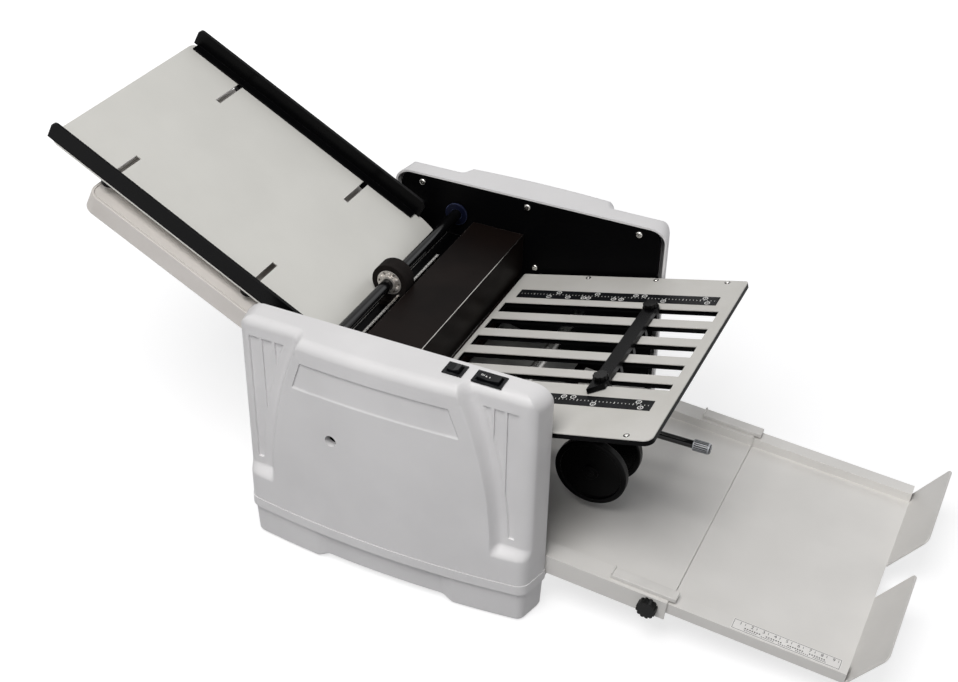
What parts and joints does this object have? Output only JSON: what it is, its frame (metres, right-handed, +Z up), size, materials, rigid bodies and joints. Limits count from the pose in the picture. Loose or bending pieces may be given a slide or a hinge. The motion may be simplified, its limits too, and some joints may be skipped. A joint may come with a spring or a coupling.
{
  "type": "paper folding machine",
  "caption": "Desk paper folding machine with a sloping feed deck, an inclined slotted fold table, a second fold table under the deck, stacker wheels and a telescoping delivery tray.",
  "frame": {"origin": "Middle of the whole machine's outline, on the desk under the rubber feet.", "axes": "+X is the way the paper travels, from the feed deck to the delivery tray. +Y points to the rear cover. +Z is up."},
  "size_m": [0.7782, 0.3435, 0.3449],
  "materials": {
    "housing_light_grey": "fine satin moulding, warm light grey",
    "plate_black": "satin black paint",
    "cover_brown_black": "satin brown-black paint",
    "deck_white": "off-white powder coat",
    "table_beige": "light grey-beige powder coat",
    "table_shell": "warm grey moulding",
    "guide_black": "black moulding",
    "bare_steel": "drawn steel",
    "zinc_steel": "zinc plated sheet",
    "bright_metal": "bright plated",
    "shaft_black": "black oxide, polished",
    "hub_light": "machined aluminium",
    "roller_rubber": "ground rubber",
    "fold_rubber": "ground dark red rubber",
    "gear_nylon": "natural nylon",
    "bush_bronze": "sintered bronze",
    "bush_blue_black": "blue-black moulding",
    "pulley_grey": "turned aluminium",
    "belt_black": "toothed rubber belt",
    "motor_grey": "grey enamel",
    "scale_black": "black printed strip with plain numbers",
    "knob_black": "fluted black moulding",
    "clip_white": "white moulding",
    "tray_beige": "light grey-beige paint",
    "foot_rubber": "soft grey rubber",
    "switch_black": "black moulding",
    "board_green": "solder masked board"
  },
  "bodies": {
    "base": {"base_pan": "zinc_steel", "front_side_plate": "plate_black", "rear_side_plate": "plate_black", "front_cover": "housing_light_grey", "rear_cover": "housing_light_grey", "plinths": "housing_light_grey", "rubber_feet": "foot_rubber", "housing_screws": "bright_metal", "tie_rods": "bare_steel", "top_cover": "cover_brown_black", "feed_deck": "deck_white", "table_brackets": "zinc_steel", "lower_table_tray": "table_shell", "lower_table_lid": "table_shell", "upper_table_top": "table_beige", "upper_table_bottom": "plate_black", "scale_strips": "scale_black", "inner_sheets": "zinc_steel", "separator_plate": "bare_steel", "separator_pad": "roller_rubber", "feed_bushings": "bush_blue_black", "feed_belt": "belt_black", "roller_bearings": "bush_bronze", "drive_belt": "belt_black", "motor": "motor_grey", "stacker_guide_block": "guide_black", "tray_base": "tray_beige", "tray_clips": "clip_white", "switch_housings": "switch_black", "power_inlet": "switch_black", "control_board": "board_green"},
    "roller_a": {"fold_roller_a": "fold_rubber", "gear_a": "gear_nylon", "roller_a_pulley": "pulley_grey"},
    "roller_b": {"fold_roller_b": "fold_rubber", "gear_b": "gear_nylon"},
    "roller_c": {"fold_roller_c": "fold_rubber", "gear_c": "gear_nylon"},
    "roller_d": {"fold_roller_d": "fold_rubber", "gear_d": "gear_nylon", "roller_d_pulley": "pulley_grey"},
    "feed_roller": {"feed_shaft": "shaft_black", "feed_roller_hub": "hub_light", "feed_roller_tyre": "roller_rubber", "feed_pulley": "pulley_grey"},
    "motor_spindle": {"motor_pulley": "pulley_grey"},
    "front_guide": {"front_guide": "guide_black"},
    "rear_guide": {"rear_guide": "guide_black"},
    "lower_stop": {"lower_stop": "guide_black"},
    "upper_stop": {"upper_stop": "guide_black"},
    "front_stop_knob": {"front_stop_knob": "knob_black"},
    "rear_stop_knob": {"rear_stop_knob": "knob_black"},
    "stacker": {"stacker_rod": "shaft_black", "stacker_carriage": "guide_black"},
    "stacker_wheels": {"stacker_axle": "bare_steel", "stacker_wheels": "guide_black"},
    "tray_extension": {"tray_extension": "tray_beige"},
    "tray_knob": {"tray_knob": "knob_black"},
    "power_rocker": {"power_rocker": "switch_black"},
    "jog_rocker": {"jog_rocker": "switch_black"}
  },
  "joints": [
    {"name": "roller_b_spin", "type": "hinge", "parent": "base", "child": "roller_b", "pos_m": [-0.06045, 0, 0.1375], "axis": [0, 1, 0], "continuous": true},
    {"name": "roller_a_spin", "type": "hinge", "parent": "base", "child": "roller_a", "pos_m": [-0.06507, 0, 0.16542], "axis": [0, 1, 0], "continuous": true},
    {"name": "roller_c_spin", "type": "hinge", "parent": "base", "child": "roller_c", "pos_m": [-0.07334, 0, 0.11231], "axis": [0, 1, 0], "continuous": true},
    {"name": "roller_d_spin", "type": "hinge", "parent": "base", "child": "roller_d", "pos_m": [-0.07816, 0, 0.08442], "axis": [0, 1, 0], "continuous": true},
    {"name": "feed_spin", "type": "hinge", "parent": "base", "child": "feed_roller", "pos_m": [-0.11145, 0, 0.1999], "axis": [0, 1, 0], "continuous": true},
    {"name": "motor_spin", "type": "hinge", "parent": "base", "child": "motor_spindle", "pos_m": [-0.13345, 0, 0.0645], "axis": [0, 1, 0], "continuous": true},
    {"name": "front_guide_slide", "type": "slide", "parent": "base", "child": "front_guide", "axis": [0, 1, 0], "range_m": [0, 0.04]},
    {"name": "rear_guide_slide", "type": "slide", "parent": "base", "child": "rear_guide", "axis": [0, -1, 0], "range_m": [0, 0.04]},
    {"name": "lower_stop_slide", "type": "slide", "parent": "base", "child": "lower_stop", "axis": [0.8902, 0, -0.4555], "range_m": [-0.03, 0.12]},
    {"name": "upper_stop_slide", "type": "slide", "parent": "base", "child": "upper_stop", "axis": [0.9706, 0, 0.2407], "range_m": [-0.125, 0.05]},
    {"name": "front_stop_knob_turn", "type": "hinge", "parent": "upper_stop", "child": "front_stop_knob", "pos_m": [0.11332, -0.054, 0.19127], "axis": [-0.2407, 0, 0.9706], "range_deg": [-90, 90]},
    {"name": "rear_stop_knob_turn", "type": "hinge", "parent": "upper_stop", "child": "rear_stop_knob", "pos_m": [0.11332, 0.066, 0.19127], "axis": [-0.2407, 0, 0.9706], "range_deg": [-90, 90]},
    {"name": "stacker_slide", "type": "slide", "parent": "base", "child": "stacker", "axis": [1, 0, 0], "range_m": [-0.04, 0.03]},
    {"name": "stacker_wheel_spin", "type": "hinge", "parent": "stacker", "child": "stacker_wheels", "pos_m": [0.10955, -0.0355, 0.0965], "axis": [0, 1, 0], "continuous": true},
    {"name": "tray_extension_slide", "type": "slide", "parent": "base", "child": "tray_extension", "axis": [0.9972, 0, -0.075], "range_m": [-0.09, 0]},
    {"name": "tray_knob_turn", "type": "hinge", "parent": "base", "child": "tray_knob", "pos_m": [0.19436, -0.1305, 0.04115], "axis": [0, -1, 0], "range_deg": [-90, 90]},
    {"name": "power_rocker_tilt", "type": "hinge", "parent": "base", "child": "power_rocker", "pos_m": [0.02205, -0.1452, 0.2332], "axis": [0, 1, 0], "range_deg": [0, 12]},
    {"name": "jog_rocker_tilt", "type": "hinge", "parent": "base", "child": "jog_rocker", "pos_m": [0.05205, -0.1452, 0.2332], "axis": [0, 1, 0], "range_deg": [-6, 6], "stiffness_Nm_per_rad": 0.05}
  ],
  "couplings": [
    {"joint": "roller_a_spin", "follows": "roller_b_spin", "ratio": -1},
    {"joint": "roller_c_spin", "follows": "roller_b_spin", "ratio": -1},
    {"joint": "roller_d_spin", "follows": "roller_b_spin", "ratio": 1},
    {"joint": "feed_spin", "follows": "roller_b_spin", "ratio": -0.83333},
    {"joint": "motor_spin", "follows": "roller_b_spin", "ratio": 3}
  ]
}
